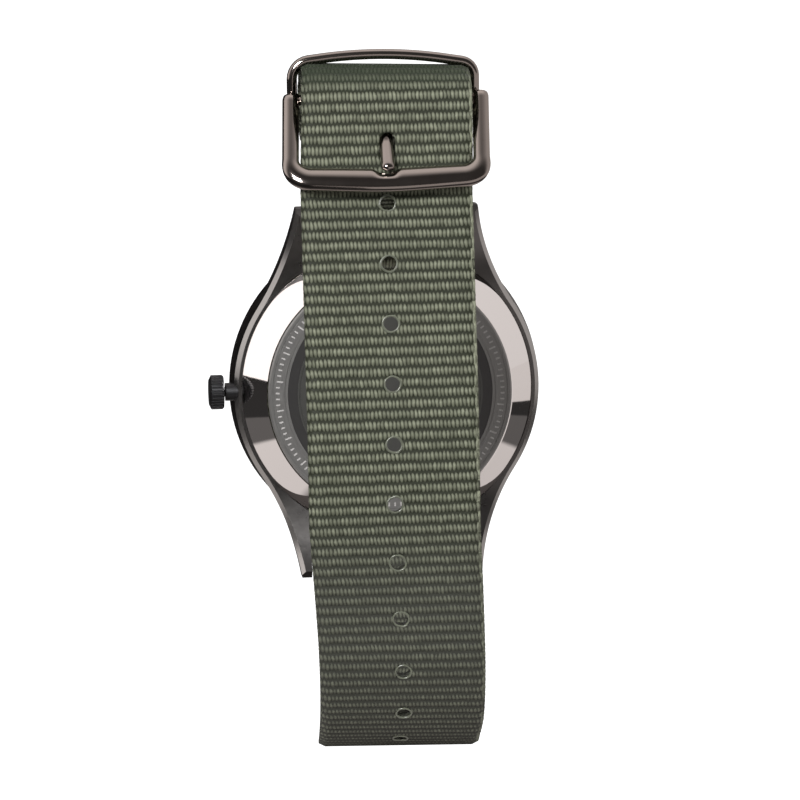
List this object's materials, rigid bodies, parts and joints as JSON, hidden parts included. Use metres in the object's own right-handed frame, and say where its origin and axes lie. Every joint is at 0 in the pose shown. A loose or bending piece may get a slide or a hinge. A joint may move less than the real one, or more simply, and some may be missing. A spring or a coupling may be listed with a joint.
{
  "type": "field wristwatch",
  "caption": "Wristwatch with a round metal case, polished back cone, screwless snap case back, crown and quartz hand train, on a woven strap buckled into a loop.",
  "frame": {"origin": "middle of the case back's outer face", "axes": "+Z towards twelve o'clock, +Y out of the dial, -X towards the crown"},
  "size_m": [0.0428, 0.0564, 0.0866],
  "materials": {
    "case_metal": "satin dark grey",
    "back_steel": "satin",
    "seal_rubber": "matte",
    "crystal_glass": "polished",
    "flange_black": "matte",
    "dial_black": "matte",
    "lume": "matte",
    "movement_plastic": "satin",
    "plate_brass": "satin",
    "wheel_brass": "polished",
    "works_steel": "satin",
    "cell_steel": "satin",
    "board_green": "gloss",
    "chip_black": "matte",
    "can_steel": "polished",
    "winding_copper": "gloss",
    "stator_iron": "satin",
    "magnet_grey": "satin",
    "hand_paint": "matte",
    "crown_black": "matte",
    "bar_steel": "satin",
    "strap_nylon": "ribbed weave",
    "buckle_nickel": "polished dark nickel"
  },
  "bodies": {
    "watch": {"case_body": "case_metal", "case_back": "back_steel", "case_back_gasket": "seal_rubber", "bezel_ring": "case_metal", "crystal": "crystal_glass", "crystal_gasket": "seal_rubber", "flange_ring": "flange_black", "dial": "dial_black", "hour_markers": "lume", "movement_ring": "movement_plastic", "main_plate": "plate_brass", "train_bridge": "works_steel", "bridge_screws": "works_steel", "battery": "cell_steel", "battery_clamp": "works_steel", "circuit_board": "board_green", "circuit_chip": "chip_black", "quartz_can": "can_steel", "coil_core": "stator_iron", "coil_winding": "winding_copper", "stator": "stator_iron", "crown_tube": "works_steel", "upper_bar_tube": "bar_steel", "upper_bar_spring": "bar_steel", "lower_bar_tube": "bar_steel", "lower_bar_spring": "bar_steel", "strap_buckle_side": "strap_nylon", "strap_hole_side": "strap_nylon"},
    "seconds": {"seconds_wheel": "wheel_brass", "second_hand": "hand_paint"},
    "minutes": {"centre_wheel": "wheel_brass", "cannon_pinion": "works_steel", "minute_hand": "hand_paint"},
    "hours": {"hour_wheel": "wheel_brass", "hour_hand": "hand_paint"},
    "third": {"third_wheel": "wheel_brass"},
    "minute_works": {"minute_wheel": "works_steel"},
    "intermediate": {"intermediate_wheel": "wheel_brass"},
    "rotor": {"rotor": "magnet_grey"},
    "clutch": {"clutch_pinion": "works_steel"},
    "crown": {"crown": "crown_black", "crown_gasket": "seal_rubber", "stem": "works_steel"},
    "lever": {"setting_lever": "works_steel"},
    "upper_tip_crown": {"upper_bar_tip_crown": "bar_steel"},
    "upper_tip_far": {"upper_bar_tip_far": "bar_steel"},
    "lower_tip_crown": {"lower_bar_tip_crown": "bar_steel"},
    "lower_tip_far": {"lower_bar_tip_far": "bar_steel"},
    "buckle": {"buckle_frame": "buckle_nickel", "buckle_pin": "buckle_nickel"},
    "tongue": {"buckle_tongue": "buckle_nickel"},
    "keeper": {"keeper_ring": "buckle_nickel"}
  },
  "joints": [
    {"name": "seconds_turn", "type": "hinge", "parent": "watch", "child": "seconds", "pos_m": [0, 0.003, 0], "axis": [0, -1, 0], "continuous": true},
    {"name": "minutes_turn", "type": "hinge", "parent": "watch", "child": "minutes", "pos_m": [0, 0.004, 0], "axis": [0, -1, 0], "continuous": true},
    {"name": "hours_turn", "type": "hinge", "parent": "watch", "child": "hours", "pos_m": [0, 0.006, 0], "axis": [0, -1, 0], "continuous": true},
    {"name": "third_turn", "type": "hinge", "parent": "watch", "child": "third", "pos_m": [-0.00329, 0.0034, -0.0019], "axis": [0, -1, 0], "continuous": true},
    {"name": "minute_works_turn", "type": "hinge", "parent": "watch", "child": "minute_works", "pos_m": [0.00338, 0.0057, -0.00123], "axis": [0, -1, 0], "continuous": true},
    {"name": "intermediate_turn", "type": "hinge", "parent": "watch", "child": "intermediate", "pos_m": [0.0015, 0.0036, 0.0026], "axis": [0, -1, 0], "continuous": true},
    {"name": "rotor_turn", "type": "hinge", "parent": "watch", "child": "rotor", "pos_m": [0.00313, 0.0038, 0.00422], "axis": [0, -1, 0], "continuous": true},
    {"name": "crown_turn", "type": "hinge", "parent": "watch", "child": "clutch", "pos_m": [-0.0074, 0.0052, 0], "axis": [-1, 0, 0], "continuous": true},
    {"name": "crown_pull", "type": "slide", "parent": "clutch", "child": "crown", "axis": [-1, 0, 0], "range_m": [0, 0.001]},
    {"name": "lever_swing", "type": "hinge", "parent": "watch", "child": "lever", "pos_m": [-0.0105, 0.0044, -0.0024], "axis": [0, -1, 0], "range_deg": [0, 25]},
    {"name": "upper_tip_crown_press", "type": "slide", "parent": "watch", "child": "upper_tip_crown", "axis": [1, 0, 0], "range_m": [0, 0.0009], "stiffness_N_per_m": 1000, "springref_m": -0.001, "deforming": ["upper_bar_spring"]},
    {"name": "upper_tip_far_press", "type": "slide", "parent": "watch", "child": "upper_tip_far", "axis": [-1, 0, 0], "range_m": [0, 0.0009], "stiffness_N_per_m": 1000, "springref_m": -0.001, "deforming": ["upper_bar_spring"]},
    {"name": "lower_tip_crown_press", "type": "slide", "parent": "watch", "child": "lower_tip_crown", "axis": [1, 0, 0], "range_m": [0, 0.0009], "stiffness_N_per_m": 1000, "springref_m": -0.001, "deforming": ["lower_bar_spring"]},
    {"name": "lower_tip_far_press", "type": "slide", "parent": "watch", "child": "lower_tip_far", "axis": [-1, 0, 0], "range_m": [0, 0.0009], "stiffness_N_per_m": 1000, "springref_m": -0.001, "deforming": ["lower_bar_spring"]},
    {"name": "buckle_lift", "type": "hinge", "parent": "watch", "child": "buckle", "pos_m": [-0.0041, -0.03644, 0.04019], "axis": [-1, 0, 0], "range_deg": [0, 2.5]},
    {"name": "tongue_lift", "type": "hinge", "parent": "buckle", "child": "tongue", "pos_m": [-0.0041, -0.03644, 0.04019], "axis": [-1, 0, 0], "range_deg": [0, 2]},
    {"name": "keeper_tilt", "type": "hinge", "parent": "watch", "child": "keeper", "pos_m": [-0.0041, -0.03452, 0.03922], "axis": [-1, 0, 0], "range_deg": [-6, 20]}
  ],
  "couplings": [
    {"joint": "minutes_turn", "follows": "seconds_turn", "ratio": 0.016667},
    {"joint": "hours_turn", "follows": "seconds_turn", "ratio": 0.0013889},
    {"joint": "third_turn", "follows": "seconds_turn", "ratio": -0.13333},
    {"joint": "minute_works_turn", "follows": "seconds_turn", "ratio": -0.0055556},
    {"joint": "intermediate_turn", "follows": "seconds_turn", "ratio": -5},
    {"joint": "rotor_turn", "follows": "seconds_turn", "ratio": 30},
    {"joint": "lever_swing", "follows": "crown_pull", "rad_per_m": 425}
  ]
}
